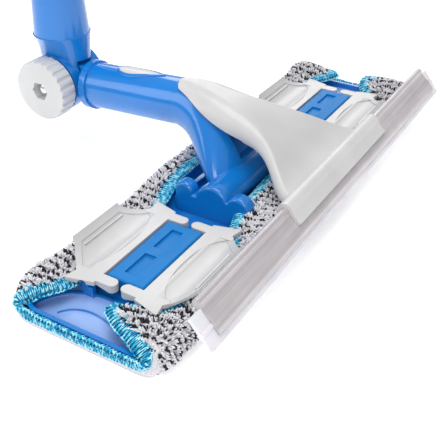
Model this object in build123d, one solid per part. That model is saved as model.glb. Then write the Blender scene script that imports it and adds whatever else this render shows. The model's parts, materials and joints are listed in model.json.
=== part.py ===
from build123d import *
import math
import os

# Flat clip-on mop head with a squeegee arm and a tilting pole socket.
# Millimetres. X runs along the head, +Y is the pole side, -Y the squeegee side, +Z is up.
# The origin is on the floor, under the middle of the pad.

os.makedirs("parts", exist_ok=True)

# ---- driving dimensions ----
PAD_L = 350.0             # pad over its ends
PAD_W = 96.0              # pad over its wrapped sides
PAD_T = 3.4               # pile under the head, pressed flat
BACKING_T = 0.6
LIP_Z = (11.3, 15.5)      # the pad's lips on top of the plate, underside and top
LIP_LEFT = 31.0           # inner edge of the lip on the pole side
LIP_RIGHT = 28.0          # inner edge of the lip on the squeegee side
HEM_W = 4.0
FREE_GAP = 0.3            # air between pieces that move past each other
RUNNING = 0.05            # radial clearance of a pin or a stem in its hole

PLATE_L = 343.0
PLATE_W = 82.0
PLATE_T = 2.5
PLATE_R = 10.0            # corner radius
PLATE_Z = PAD_T + BACKING_T
FLOOR_Z = PLATE_Z + PLATE_T
RIM_T = 2.5
RIM_Z = 11.1
TRAY_RIB_Z = 7.9          # top of the curved ribs that close the end trays

STATION_X = 106.3         # middle of each clamp station
BUTTON_L = 58.0
BUTTON_W = 23.8
BUTTON_TOP = 18.5
BUTTON_WALL = 2.2
SKIRT_Z = 13.3            # lower edge of the button's skirt
STEM_X = 19.0
STEM_R = 4.0
STEM_Z = 8.1
BOSS_R = 6.5
BOSS_Z = 11.5
POCKET = (19.0, 7.4)      # the two sunk panels on a button
POCKET_X = 13.0
POCKET_Y = 1.2
POCKET_DEPTH = 1.4

FLAP_Y = 20.0             # hinge rods of the flaps
FLAP_Z = 16.0
FLAP_ROD_R = 1.25
FLAP_BARREL_R = 2.6
FLAP_T = 2.6
FLAP_TOP = BUTTON_TOP + 0.1
POST_X = (35.0, 38.0)     # the hinge posts stand under the flap's ends
POST_R = 2.1
FLAP_GROOVE_R = 2.45
FLAP_INNER = 13.1
WING_Y = 42.0
WING_Z = 26.0
PRONG_X = (29.9, 36.6)
PRONG_Y = 1.6
PRONG_Z = 13.8            # underside of the thick prong tips

HINGE_Z = 18.2            # head hinge, along X
HINGE_PIN_R = 2.5
FOOT_R = 10.5
CRADLE_HALF = 50.0
CHEEK_T = 7.5
DOME_R = 11.6
EARS = ((19.8, 20.8, 6.4), (-18.0, 19.4, 8.0))   # y, z, radius of the two round ears
PIN_END = 2.2             # closed skin over each end of the hinge pin
CRADLE_W = 54.0
SCREW_R = 1.6
SCREW_HEAD_R = 3.2
SCREW_X = 31.0
SCREW_Y = 17.0

TUBE_R = 15.6
TUBE_WALL = 3.0
TUBE_END = (127.0, 48.6)  # y, z of the tube's axis at its end collar
TUBE_BEND = (52.0, 53.2)  # y, z where the neck starts to bend down
COLLAR_R = 16.9
COLLAR_L = 5.0
BADGE_Y = 91.5            # widest point of the leaf-shaped inlay

TILT_Y = 151.0            # tilt joint of the pole socket, along X
TILT_Z = 48.4
HUB_R = 20.4
HUB_X = (-14.2, 16.0)
SLOT_HALF = 6.2           # half width of the hub's slot
LUG_HALF = 5.0
LUG_R = 15.5
WASHER_T = 0.9
BOLT_R = 3.0
KNOB_R = 21.0
KNOB_X = (-29.0, -15.5)
KNOB_FLUTES = 24
NUT_AF = 11.4
NUT_T = 5.0
NUT_DOME_R = 4.8
NUT_DOME_H = 2.4
SOCKET_R = 19.4
SOCKET_TOP_R = 16.4
SOCKET_Z = 126.0
POLE_R = 12.6             # bore for a 25 mm pole
POLE_DEPTH = 48.0

ARM_SKIN = 2.2
SLEEVE_X = (-58.0, 70.0)
RIDGE = (-53.0, 35.6)     # y, z of the squeegee channel's ridge
BLADE_LEAN = math.radians(51.0)   # the blade's slope below the horizontal
CHANNEL_HALF = 157.0
CHANNEL_SHIFT = 9.0       # the channel sits this far off the middle of its sleeve
CHANNEL_H = 18.0
BLADE_HALF = 166.0
BLADE_S = (2.6, 21.8)     # the rubber strip, measured down from the ridge
BLADE_T = 2.0


# ---- helpers ----
def block(x0, x1, y0, y1, z0, z1):
    """A box between two corners."""
    return Pos((x0 + x1) / 2, (y0 + y1) / 2, (z0 + z1) / 2) * Box(x1 - x0, y1 - y0, z1 - z0)


def rod_x(x0, x1, y, z, r):
    """A cylinder along X."""
    return Pos((x0 + x1) / 2, y, z) * Rot(0, 90, 0) * Cylinder(r, x1 - x0)


def rod_z(x, y, z0, z1, r):
    """A cylinder along Z."""
    return Pos(x, y, (z0 + z1) / 2) * Cylinder(r, z1 - z0)


def along_x(face, x0, x1):
    """Extrude a face drawn in (y, z) from x0 to x1."""
    return extrude(Plane(origin=(x0, 0, 0), x_dir=(0, 1, 0), z_dir=(1, 0, 0)) * face, x1 - x0)


def along_z(face, z0, z1):
    """Extrude a face drawn in (x, y) from z0 to z1."""
    return extrude(Pos(0, 0, z0) * face, z1 - z0)


def face_of(*edges):
    """A face from edges that close a loop."""
    return make_face(Curve() + [edge for edge in edges])


def polygon(points):
    """A face from corner points."""
    return make_face(Polyline(*points, close=True))


def mirrored_x(shape):
    return mirror(shape, about=Plane.YZ)


def mirrored_y(shape):
    return mirror(shape, about=Plane.XZ)


def save(shape, name, color):
    """Write one node's solids to its STEP file."""
    solids = shape.solids()
    out = solids[0] if len(solids) == 1 else Compound(children=list(solids))
    out.label = name
    out.color = Color(*color)
    export_step(out, f"parts/{name}.step")
    print(name, len(solids), "solid(s)")


BLUE = (0.05, 0.30, 0.80)
PALE_BLUE = (0.45, 0.55, 0.90)
LIGHT_GREY = (0.78, 0.78, 0.79)
WARM_GREY = (0.68, 0.66, 0.66)
WHITE = (0.92, 0.92, 0.92)
CYAN = (0.05, 0.60, 0.75)
STEEL = (0.75, 0.75, 0.77)
RUBBER = (0.80, 0.80, 0.84)


# ---- pad ----
def pad_outline():
    return RectangleRounded(PAD_L, PAD_W, 20.0)


def lip_opening():
    """The plan of the opening between the pad's lips, closed in at the corners."""
    half = PAD_L / 2 - 4.2
    points = [(-half, 34), (-142, LIP_LEFT), (142, LIP_LEFT), (half, 34),
              (half, -34), (142, -LIP_RIGHT), (-142, -LIP_RIGHT), (-half, -34)]
    return polygon(points)


def pad_cloth():
    """Pile under the head, wrapped up both sides and over the plate's edges."""
    body = along_z(pad_outline(), 0, LIP_Z[1])
    room = along_z(RectangleRounded(PLATE_L + 1.0, PLATE_W + 1.0, PLATE_R + 0.5), PAD_T, LIP_Z[0])
    opening = along_z(lip_opening(), PAD_T, LIP_Z[1] + 1)
    end_drop = block(PAD_L / 2 - 8, PAD_L / 2 + 1, -34, 34, RIM_Z, LIP_Z[1] + 1)
    body = body - room - opening - end_drop - mirrored_x(end_drop)
    hem_room = along_z(offset(lip_opening(), HEM_W), LIP_Z[0] - 1, LIP_Z[1] + 1)
    return body - hem_room


def pad_hem():
    """The bound edges of the two lips."""
    ring = along_z(offset(lip_opening(), HEM_W), LIP_Z[0], LIP_Z[1] + 0.2)
    ring = ring - along_z(lip_opening(), LIP_Z[0] - 1, LIP_Z[1] + 2)
    keep = along_z(pad_outline(), 0, LIP_Z[1] + 2)
    ring = ring & keep
    clear = block(PAD_L / 2 - 5.5, PAD_L / 2 + 1, -34, 34, 0, LIP_Z[1] + 2)
    return ring - clear - mirrored_x(clear)


def pad_backing():
    """Woven backing between the pile and the plate."""
    return along_z(RectangleRounded(PLATE_L, PLATE_W, PLATE_R), PAD_T, PLATE_Z)


# ---- plate ----
def flap_rods():
    """Centres (x, y) of the four flap hinge rods."""
    return [(x, y) for x in (-STATION_X, STATION_X) for y in (FLAP_Y, -FLAP_Y)]


def rib(points, width, top):
    """A low wall of even width along a smooth line on the plate's floor."""
    line = Spline(*points)
    return along_z(make_face(trace_outline(line, width / 2)), FLOOR_Z - 0.5, top)


def trace_outline(line, half):
    """The closed outline half a width to each side of a line in plan."""
    sides = []
    for side in (1, -1):
        places = []
        for i in range(13):
            t = i / 12
            across = (line % t).rotate(Axis.Z, 90) * (side * half)
            places.append(line @ t + across)
        sides.append(Spline(*places))
    caps = [Line(sides[0] @ 0, sides[1] @ 0), Line(sides[0] @ 1, sides[1] @ 1)]
    return Curve() + sides + caps


def tray_ribs():
    """The curved wall and the thin swoosh of the tray at the -X end."""
    wall_line = [(-165.0, 38.5), (-150.0, 31.0), (-142.5, 18.0), (-140.8, 0),
                 (-142.5, -18.0), (-150.0, -31.0), (-165.0, -38.5)]
    swoosh_line = [(-163.0, 23.4), (-159.7, 21.2), (-156.0, 16.4), (-154.2, 10.0),
                   (-154.3, 3.0), (-156.4, -6.0), (-160.5, -14.0)]
    wall = rib(wall_line, 2.0, TRAY_RIB_Z)
    swoosh = rib(swoosh_line, 0.9, FLOOR_Z + 0.8)
    return wall, swoosh


def base_plate():
    outer = RectangleRounded(PLATE_L, PLATE_W, PLATE_R)
    inner = RectangleRounded(PLATE_L - 2 * RIM_T, PLATE_W - 2 * RIM_T, PLATE_R - RIM_T)
    plate = along_z(outer, PLATE_Z, FLOOR_Z)
    ring = outer - inner
    plate += along_z(ring, FLOOR_Z - 0.5, RIM_Z)
    for y in (-9.0, 9.0):
        plate += block(-34, 34, y - 1, y + 1, FLOOR_Z - 0.5, FLOOR_Z + 1.0)
    for piece in tray_ribs():
        plate += piece
        plate += mirrored_x(piece)
    for x in (-STATION_X, STATION_X):
        for dx in (-STEM_X, STEM_X):
            plate += rod_z(x + dx, 0, FLOOR_Z - 0.5, BOSS_Z, BOSS_R)
            plate -= rod_z(x + dx, 0, PLATE_Z - 1, BOSS_Z + 1, STEM_R + RUNNING)
    for x, y in flap_rods():
        for side in (-1, 1):
            x0, x1 = sorted((x + side * POST_X[0], x + side * POST_X[1]))
            plate += block(x0, x1, y - POST_R, y + POST_R, FLOOR_Z - 0.5, FLAP_Z)
            plate += rod_x(x0, x1, y, FLAP_Z, POST_R)
            foot = sorted((math.copysign(14.8, y), math.copysign(FLAP_Y, y)))
            plate += block(x0, x1, foot[0], foot[1], FLOOR_Z - 0.5, FLAP_Z - 2.6)
        plate -= rod_x(x - POST_X[1] - 1, x + POST_X[1] + 1, y, FLAP_Z, FLAP_ROD_R + 0.02)
    for x in (-SCREW_X, SCREW_X):
        for y in (-SCREW_Y, SCREW_Y):
            plate -= rod_z(x, y, PLATE_Z - 1, FLOOR_Z + 1, SCREW_R + 0.02)
            plate -= rod_z(x, y, PLATE_Z - 1, PLATE_Z + 1.5, SCREW_HEAD_R + 0.02)
    return plate


def flap_hinge_rods():
    reach = POST_X[1]
    rods = [rod_x(x - reach, x + reach, y, FLAP_Z, FLAP_ROD_R) for x, y in flap_rods()]
    return Compound(children=rods)


def cradle_profile():
    """End view of the hinge cradle: two round ears and a dome between them."""
    half = CRADLE_W / 2
    (left, left_z, left_r), (right, right_z, right_r) = EARS
    face = polygon([(-half, FLOOR_Z), (half, FLOOR_Z), (left + left_r, left_z), (right - right_r, right_z)])
    for y, z, r in EARS:
        face += Pos(y, z) * Circle(r)
    face += Pos(0, HINGE_Z) * Circle(DOME_R)
    return face


def hinge_cradle():
    """The block screwed to the plate that carries the neck's hinge pin."""
    near = along_x(cradle_profile(), -CRADLE_HALF, -CRADLE_HALF + CHEEK_T)
    outer = near.faces().sort_by(Axis.X)[0]
    near = fillet([e for e in outer.edges() if e.center().Z > FLOOR_Z + 1], 2.0)
    body = near + mirrored_x(near)
    for side in (-1, 1):
        y0, y1 = sorted((side * CRADLE_W / 2, side * (CRADLE_W / 2 - 14)))
        body += block(-CRADLE_HALF + 1, CRADLE_HALF - 1, y0, y1, FLOOR_Z, FLOOR_Z + 4)
        wall = sorted((side * CRADLE_W / 2, side * (CRADLE_W / 2 - 3)))
        body += block(-CRADLE_HALF + 1, CRADLE_HALF - 1, wall[0], wall[1], FLOOR_Z, FLOOR_Z + 8.3)
    body -= rod_x(PIN_END - CRADLE_HALF, CRADLE_HALF - PIN_END, 0, HINGE_Z, HINGE_PIN_R + 0.02)
    for x in (-SCREW_X, SCREW_X):
        for y in (-SCREW_Y, SCREW_Y):
            body -= rod_z(x, y, FLOOR_Z - 1, FLOOR_Z + 3.2, SCREW_R + 0.02)
    return body


def hinge_pin():
    reach = CRADLE_HALF - PIN_END - 0.1
    return rod_x(-reach, reach, 0, HINGE_Z, HINGE_PIN_R)


def cradle_screws():
    """Four screws, up through the plate into the cradle's feet."""
    screws = []
    for x in (-SCREW_X, SCREW_X):
        for y in (-SCREW_Y, SCREW_Y):
            shank = rod_z(x, y, PLATE_Z + 0.1, FLOOR_Z + 3.0, SCREW_R)
            screws.append(shank + rod_z(x, y, PLATE_Z + 0.1, PLATE_Z + 1.5, SCREW_HEAD_R))
    return Compound(children=screws)


# ---- clamp stations ----
def pedal_button(x):
    """A pedal with a skirt, two guide stems and two sunk panels on its top."""
    top = RectangleRounded(BUTTON_L, BUTTON_W, 1.2)
    inner = RectangleRounded(BUTTON_L - 2 * BUTTON_WALL, BUTTON_W - 2 * BUTTON_WALL, 0.8)
    body = along_z(top, SKIRT_Z, BUTTON_TOP)
    body -= along_z(inner, SKIRT_Z - 1, BUTTON_TOP - 2.5)
    body = chamfer(body.faces().sort_by(Axis.Z)[-1].edges(), 0.8)
    for dx in (-POCKET_X, POCKET_X):
        panel = Pos(dx, POCKET_Y) * RectangleRounded(*POCKET, 0.5)
        body -= along_z(panel, BUTTON_TOP - POCKET_DEPTH, BUTTON_TOP + 1)
    for dx in (-STEM_X, STEM_X):
        body += rod_z(dx, 0, STEM_Z, BUTTON_TOP - 2, STEM_R)
        body -= rod_z(dx, 0, STEM_Z - 1, BUTTON_TOP - 3.5, STEM_R - 1.6)
    return Pos(x, 0, 0) * body


def leaf_spring(x):
    """A bowed steel strip under the button, resting on the plate."""
    foot, half, rise = 3.5, 8.5, BUTTON_TOP - 2.5 - FLOOR_Z - 0.1
    t = 0.6
    outer = [Line((-half - foot, t), (-half, t)),
             ThreePointArc((-half, t), (0, rise), (half, t)),
             Line((half, t), (half + foot, t)),
             Line((half + foot, t), (half + foot, 0)),
             Line((half + foot, 0), (half, 0)),
             ThreePointArc((half, 0), (0, rise - t), (-half, 0)),
             Line((-half, 0), (-half - foot, 0)),
             Line((-half - foot, 0), (-half - foot, t))]
    strip = extrude(Plane(origin=(0, 4, FLOOR_Z), x_dir=(1, 0, 0), z_dir=(0, -1, 0)) * face_of(*outer), 8)
    return Pos(x, 0, 0) * strip


def flap_section():
    """Cross-section (y, z) of a flap: flat inner band, crease and rising wing."""
    crease_y = 30.0
    crease_z = FLAP_TOP - 0.9
    tip = (WING_Y + 0.8, WING_Z - FLAP_T)
    low = FLAP_TOP - FLAP_T
    return face_of(Line((FLAP_INNER, FLAP_TOP), (22, FLAP_TOP)),
                   ThreePointArc((22, FLAP_TOP), (crease_y, crease_z + 0.6), (WING_Y, WING_Z)),
                   Line((WING_Y, WING_Z), tip),
                   ThreePointArc(tip, (35.2, FLAP_TOP - 0.5), (29.0, low + 0.2)),
                   Line((29.0, low + 0.2), (22, low)),
                   Line((22, low), (FLAP_INNER, low)),
                   Line((FLAP_INNER, low), (FLAP_INNER, FLAP_TOP)))


def flap_plan():
    """Plan of a flap on the +Y side: slanted ends, pointed tabs and a narrower wing."""
    half = [(36.6, 0), (36.8, 8), (42.4, 28.6), (41.6, 29.6), (34.6, 28.0), (20.4, 40.6),
            (19.0, WING_Y + 2)]
    return polygon(half + [(-x, y) for x, y in reversed(half)])


def tab_section():
    """Cross-section (y, z) of a flap's end tabs, which stay flat beside the wing."""
    low = FLAP_TOP - FLAP_T
    return polygon([(FLAP_INNER, FLAP_TOP), (30.0, FLAP_TOP), (30.0, low), (FLAP_INNER, low)])


def panel_plan():
    """The sunk panel of the wing, bounded inwards by a bow."""
    bow = Spline((-30.5, 27.0), (-24.0, 22.4), (0, 17.6), (24.0, 22.4), (30.5, 27.0))
    return face_of(bow, Line((30.5, 27.0), (17.0, 38.6)), Line((17.0, 38.6), (-17.0, 38.6)),
                   Line((-17.0, 38.6), (-30.5, 27.0)))


def prong(side):
    """A thick rounded prong that reaches past the pedal's end, deepest at its tip."""
    x0, x1 = sorted((side * PRONG_X[0], side * PRONG_X[1]))
    half = (x1 - x0) / 2
    body = block(x0, x1, PRONG_Y + half, FLAP_INNER + 1, FLAP_TOP - FLAP_T, FLAP_TOP)
    body += rod_z((x0 + x1) / 2, PRONG_Y + half, PRONG_Z, FLAP_TOP, half)
    wedge = polygon([(PRONG_Y + half, FLAP_TOP - 1), (PRONG_Y + half, PRONG_Z), (14.0, FLAP_TOP - FLAP_T),
                     (14.0, FLAP_TOP - 1)])
    return body + along_x(wedge, x0, x1)


def flap():
    """One flap on the +Y side of a station at x = 0."""
    body = along_x(flap_section(), -36.0, 36.0) + along_x(tab_section(), -44.0, -30.0)
    body += along_x(tab_section(), 30.0, 44.0)
    body = body & along_z(flap_plan(), 0, 60)
    body += prong(-1) + prong(1)
    sunk = along_x(flap_section_shell(0.8), -40, 40) & along_z(panel_plan(), 0, 60)
    body -= sunk
    barrel_half = POST_X[0] - FREE_GAP
    body += rod_x(-barrel_half, barrel_half, FLAP_Y, FLAP_Z, FLAP_BARREL_R)
    lever = polygon([(9.6, 11.5), (14.0, 11.5), (21.5, 14.1), (18.0, 17.0), (13.2, 12.7), (9.6, 12.7)])
    body += along_x(lever, -24, 24)
    root = WING_Z - 5.0
    teeth = [polygon([(y, root), (y + 1.4, root), (y + 0.7, root - 2.4)]) for y in (36.0, 38.5)]
    for tooth in teeth:
        body += along_x(tooth, -17.0, 17.0)
    body -= rod_x(-POST_X[1] - 6, POST_X[1] + 6, FLAP_Y, FLAP_Z, FLAP_ROD_R + RUNNING)
    for side in (-1, 1):
        x0, x1 = sorted((side * barrel_half, side * (POST_X[1] + 6)))
        body -= rod_x(x0, x1, FLAP_Y, FLAP_Z, FLAP_GROOVE_R)
    return body


def flap_section_shell(depth):
    """The top skin of the flap's section, of the given depth."""
    section = flap_section()
    return section - Pos(0, -depth) * section


# ---- neck ----
def neck_section(y, z, fall, half_x, half_n, grow=0.0):
    """An elliptical face square to the neck's path, which falls by `fall` degrees towards -Y."""
    a = math.radians(fall)
    plane = Plane(origin=(0, y, z), x_dir=(1, 0, 0), z_dir=(0, -math.cos(a), -math.sin(a)))
    return plane * Ellipse(half_x + grow, half_n + grow)


# y, z, fall in degrees, half width along X and half thickness of each section of the bend
TUBE_FALL = -math.degrees(math.atan2(TUBE_BEND[1] - TUBE_END[1], TUBE_END[0] - TUBE_BEND[0]))
NECK_STATIONS = [(TUBE_BEND[0], TUBE_BEND[1], TUBE_FALL, TUBE_R, TUBE_R),
                 (33.0, 48.3, 30, 20.0, 17.0),
                 (20.0, 37.0, 58, 28.0, 15.5),
                 (8.0, 21.5, 72, 36.0, 11.3)]


def neck_bend(grow=0.0):
    return loft([neck_section(*station, grow=grow) for station in NECK_STATIONS])


def tube_run(radius, y_from, y_to):
    """A cylinder on the tube's axis between two values of y."""
    slope = (TUBE_BEND[1] - TUBE_END[1]) / (TUBE_BEND[0] - TUBE_END[0])
    z_from = TUBE_END[1] + slope * (y_from - TUBE_END[0])
    z_to = TUBE_END[1] + slope * (y_to - TUBE_END[0])
    start = Vector(0, y_from, z_from)
    end = Vector(0, y_to, z_to)
    return extrude(Plane(origin=start, z_dir=end - start) * Circle(radius), (end - start).length)


def badge_face(grow=0.0):
    """Leaf outline, drawn along the tube with its point towards -Y."""
    side = [(-8.6, 3.3), (-3.5, 5.3), (0.5, 5.6), (8.0, 4.4), (16.0, 2.2)]
    side = [(-10.5 - grow, 0)] + [(x, y + grow) for x, y in side] + [(23.5 + 2 * grow, 0)]
    upper = Spline(*side)
    lower = Spline(*[(x, -y) for x, y in side])
    return face_of(upper, lower)


def badge_prism(grow):
    """The leaf-shaped prism over the tube's top, grown sideways."""
    turn = Rot(0, 0, -90) * badge_face(grow)
    return Pos(0, BADGE_Y, 0) * along_z(turn, TUBE_END[1] + 8, TUBE_END[1] + 30)


def neck():
    """Tube, bend and hinge foot in one moulding, hollow and open at the front of the bend."""
    body = tube_run(TUBE_R, TUBE_END[0], TUBE_BEND[0]) + neck_bend()
    body += tube_run(COLLAR_R, TUBE_END[0], TUBE_END[0] - COLLAR_L)
    body += rod_x(-CRADLE_HALF + CHEEK_T + FREE_GAP, CRADLE_HALF - CHEEK_T - FREE_GAP, 0, HINGE_Z, FOOT_R)
    hollow = polygon([(-24, 31), (5, 31), (14, 37), (22, 45), (28, 52), (8, 66), (-24, 66)])
    body -= along_x(hollow, -13, 13)
    body -= tube_run(TUBE_R - TUBE_WALL, TUBE_END[0] - 5, 24)
    lug = rod_x(-LUG_HALF, LUG_HALF, TILT_Y, TILT_Z, LUG_R)
    web = [(TUBE_END[0] - 2, TILT_Z - LUG_R + 2), (TILT_Y, TILT_Z - LUG_R + 1),
           (TILT_Y, TILT_Z + LUG_R - 1), (TUBE_END[0] - 2, TILT_Z + LUG_R - 2)]
    body += lug + along_x(polygon(web), -LUG_HALF, LUG_HALF)
    body -= rod_x(-LUG_HALF - 1, LUG_HALF + 1, TILT_Y, TILT_Z, BOLT_R + RUNNING)
    body -= rod_x(-CRADLE_HALF, CRADLE_HALF, 0, HINGE_Z, HINGE_PIN_R + RUNNING)
    rim = badge_prism(1.6) & tube_run(TUBE_R + 0.8, 110, 58)
    body += rim - tube_run(TUBE_R - 0.5, 110, 58)
    body -= badge_prism(0.0) - tube_run(TUBE_R - 1.4, 112, 56)
    return body


def neck_badge():
    """Plain leaf inlay on top of the tube."""
    return (badge_prism(-0.05) & tube_run(TUBE_R + 0.7, 110, 58)) - tube_run(TUBE_R - 1.4, 112, 56)


# ---- squeegee ----
DOWN = (-math.cos(BLADE_LEAN), -math.sin(BLADE_LEAN))
OUT = (-math.sin(BLADE_LEAN), math.cos(BLADE_LEAN))


def blade_point(s, n):
    """(y, z) of a point s down from the ridge and n out from the blade's middle plane."""
    return (RIDGE[0] + s * DOWN[0] + n * OUT[0], RIDGE[1] + s * DOWN[1] + n * OUT[1])


def channel_outline(grow=0.0, length=CHANNEL_H):
    """Closed outline of the channel: a round ridge, a waist and a swelling over the rubber."""
    side = [(0.0, 2.6), (4.5, 1.9), (10.0, 3.0), (15.5, 3.1), (CHANNEL_H, 2.3)]
    side = [(s, n) for s, n in side if s <= length]
    outer = Spline(*[blade_point(s, n + grow) for s, n in side])
    inner = Spline(*[blade_point(s, -n - grow) for s, n in side])
    ridge = ThreePointArc(inner @ 0, blade_point(-2.6 - grow, 0), outer @ 0)
    return make_face(Curve() + [outer, inner, ridge, Line(outer @ 1, inner @ 1)])


def rubber_outline(grow=0.0):
    """The rubber strip's section with its round bead at the top."""
    half = BLADE_T / 2 + grow
    s0, s1 = BLADE_S
    strip = polygon([blade_point(s0, half), blade_point(s1 + grow, half * 0.7),
                     blade_point(s1 + grow, -half * 0.7), blade_point(s0, -half)])
    return strip + Pos(*blade_point(12.5, 0)) * Circle(1.7 + grow)


def squeegee_channel():
    return along_x(channel_outline() - rubber_outline(0.05), CHANNEL_SHIFT - CHANNEL_HALF,
                   CHANNEL_SHIFT + CHANNEL_HALF)


def squeegee_blade():
    return along_x(rubber_outline(), CHANNEL_SHIFT - BLADE_HALF, CHANNEL_SHIFT + BLADE_HALF)


def arm_section(x, y, z, fall, half_x, half_n):
    """A rounded rectangle square to the arm's path."""
    a = math.radians(fall)
    plane = Plane(origin=(x, y, z), x_dir=(1, 0, 0), z_dir=(0, -math.cos(a), -math.sin(a)))
    return plane * RectangleRounded(2 * half_x, 2 * half_n, half_n * 0.9)


# x, y, z, fall in degrees, half width along X and half thickness of each section of the arm
ARM_STATIONS = [(0.0, 53.0, 53.2, -3.5, TUBE_R + ARM_SKIN, TUBE_R + ARM_SKIN),
                (0.0, 28.0, 52.8, 12, 17.8, 15.2),
                (1.0, 7.0, 51.6, 24, 19.6, 11.0),
                (5.6, -14.0, 47.6, 34, 25.5, 5.6),
                (8.6, -32.0, 36.4, 32, 40.0, 4.0),
                (9.0, -48.0, 30.6, 8, 51.0, 3.3)]


def hood_plan():
    """Plan that trims the hood's end to a tongue lying on the tube."""
    far = [(-3.0, 50.5), (1.0, 46.5), (4.2, 40.0), (8.3, 30.0), (13.5, 19.5), (20.0, 8.0), (70.0, -2.0)]
    near = [(-6.5, 50.0), (-70.0, 50.0)]
    return polygon(far + [(70.0, -62.0), (-70.0, -62.0)] + near[::-1])


def squeegee_arm():
    """Hood over the neck, flaring into a flat fan and the sleeve that grips the channel."""
    body = loft([arm_section(*station) for station in ARM_STATIONS])
    cover = polygon([(51, 70.5), (48, 67.5), (40, 64.6), (28, 58.6), (18, 54.0), (9, 50.6), (-2, 47.5),
                     (-12, 40.0), (-62, 10), (-62, 84), (51, 84)])
    body = body & along_x(cover, -70, 70)
    body = body & along_z(hood_plan(), 0, 90)
    body -= neck_bend(0.05)
    body -= tube_run(TUBE_R + 0.05, TUBE_BEND[0] + 12, TUBE_BEND[0] - 3)
    body += along_x(channel_outline(2.4, 10.0), *SLEEVE_X)
    body -= along_x(channel_outline(0.05), SLEEVE_X[0] - 1, SLEEVE_X[1] + 1)
    return body


# ---- tilt joint ----
def pole_yoke():
    """Slotted hub on the tilt bolt, rising into the socket for the pole."""
    body = rod_x(HUB_X[0], HUB_X[1], TILT_Y, TILT_Z, HUB_R)
    x_mid = (HUB_X[0] + HUB_X[1]) / 2
    half = (HUB_X[1] - HUB_X[0]) / 2 - 0.4
    low = Pos(x_mid, TILT_Y, TILT_Z + 8) * Ellipse(half, HUB_R - 1.5)
    mid = Pos(x_mid, TILT_Y, TILT_Z + 20) * Ellipse(half, HUB_R - 1.0)
    high = Pos(0, TILT_Y, TILT_Z + 34) * Ellipse(SOCKET_R + 0.4, SOCKET_R + 0.3)
    body += loft([low, mid, high])
    base_z = TILT_Z + 34
    body += Pos(0, TILT_Y, (base_z + SOCKET_Z) / 2) * Cone(SOCKET_R - 0.3, SOCKET_TOP_R, SOCKET_Z - base_z)
    body += rod_z(0, TILT_Y, SOCKET_Z - 7, SOCKET_Z, SOCKET_TOP_R + 1.8)
    slot_z = TILT_Z + LUG_R + 1.6
    body -= block(-SLOT_HALF, SLOT_HALF, TILT_Y - 30, TILT_Y + 30, TILT_Z - 30, slot_z)
    body -= rod_x(HUB_X[0] - 1, HUB_X[1] + 1, TILT_Y, TILT_Z, BOLT_R + 0.02)
    body -= rod_z(0, TILT_Y, SOCKET_Z - POLE_DEPTH, SOCKET_Z + 1, POLE_R)
    return body


def hex_prism(x0, x1, across):
    """A hexagonal prism on the tilt axis with a corner towards +Y."""
    hexagon = RegularPolygon(across / 2, 6, major_radius=False, rotation=0)
    return along_x(Pos(TILT_Y, TILT_Z) * hexagon, x0, x1)


def pivot_bolt():
    """Round-headed bolt through the hub, its head on the far side."""
    body = rod_x(KNOB_X[1] - 4.0 - NUT_T, HUB_X[1] + 0.5, TILT_Y, TILT_Z, BOLT_R)
    head = Pos(HUB_X[1], TILT_Y, TILT_Z) * Rot(0, 90, 0) * Pos(0, 0, -4.6) * Sphere(8.4)
    head = head & block(HUB_X[1], HUB_X[1] + 10, TILT_Y - 9, TILT_Y + 9, TILT_Z - 9, TILT_Z + 9)
    return body + head


def friction_washers():
    """Two fibre rings between the lug and the cheeks."""
    rings = []
    for side in (-1, 1):
        x0, x1 = sorted((side * SLOT_HALF, side * (SLOT_HALF - WASHER_T)))
        ring = rod_x(x0, x1, TILT_Y, TILT_Z, 12.5) - rod_x(x0 - 1, x1 + 1, TILT_Y, TILT_Z, BOLT_R + 0.1)
        rings.append(ring)
    return Compound(children=rings)


def pivot_washer():
    """Steel washer under the knob."""
    ring = rod_x(HUB_X[0] - 1.0, HUB_X[0], TILT_Y, TILT_Z, 9.0)
    return ring - rod_x(HUB_X[0] - 2, HUB_X[0] + 1, TILT_Y, TILT_Z, BOLT_R + 0.1)


def knob_nut():
    """Captive domed nut at the bottom of the knob's hexagonal recess."""
    x1 = KNOB_X[1] - 4.0
    x0 = x1 - NUT_T
    sphere_r = (NUT_DOME_R ** 2 + NUT_DOME_H ** 2) / (2 * NUT_DOME_H)
    dome = Pos(x0 - NUT_DOME_H + sphere_r, TILT_Y, TILT_Z) * Sphere(sphere_r)
    dome = dome & block(x0 - NUT_DOME_H - 1, x0 + 0.5, TILT_Y - 10, TILT_Y + 10, TILT_Z - 10, TILT_Z + 10)
    return hex_prism(x0, x1, NUT_AF) + dome - rod_x(x0 - 0.4, x1 + 1, TILT_Y, TILT_Z, BOLT_R + RUNNING)


def locking_knob():
    """Fluted hand knob with a hexagonal recess in its front face."""
    body = rod_x(KNOB_X[0], KNOB_X[1], TILT_Y, TILT_Z, KNOB_R)
    front = body.faces().sort_by(Axis.X)[0]
    body = fillet(front.edges(), 1.6)
    rear = body.faces().sort_by(Axis.X)[-1]
    body = chamfer(rear.edges(), 0.8)
    flute_r = 2.4
    for i in range(KNOB_FLUTES):
        a = 2 * math.pi * i / KNOB_FLUTES
        reach = KNOB_R + flute_r - 0.9
        y, z = TILT_Y + reach * math.cos(a), TILT_Z + reach * math.sin(a)
        body -= rod_x(KNOB_X[0] - 1, KNOB_X[1] + 1, y, z, flute_r)
    recess_end = KNOB_X[1] - 4.0
    body -= hex_prism(KNOB_X[0] - 1, recess_end, NUT_AF + 0.1)
    body -= rod_x(recess_end - 1, KNOB_X[1] + 1, TILT_Y, TILT_Z, BOLT_R + 0.1)
    return body


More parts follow.
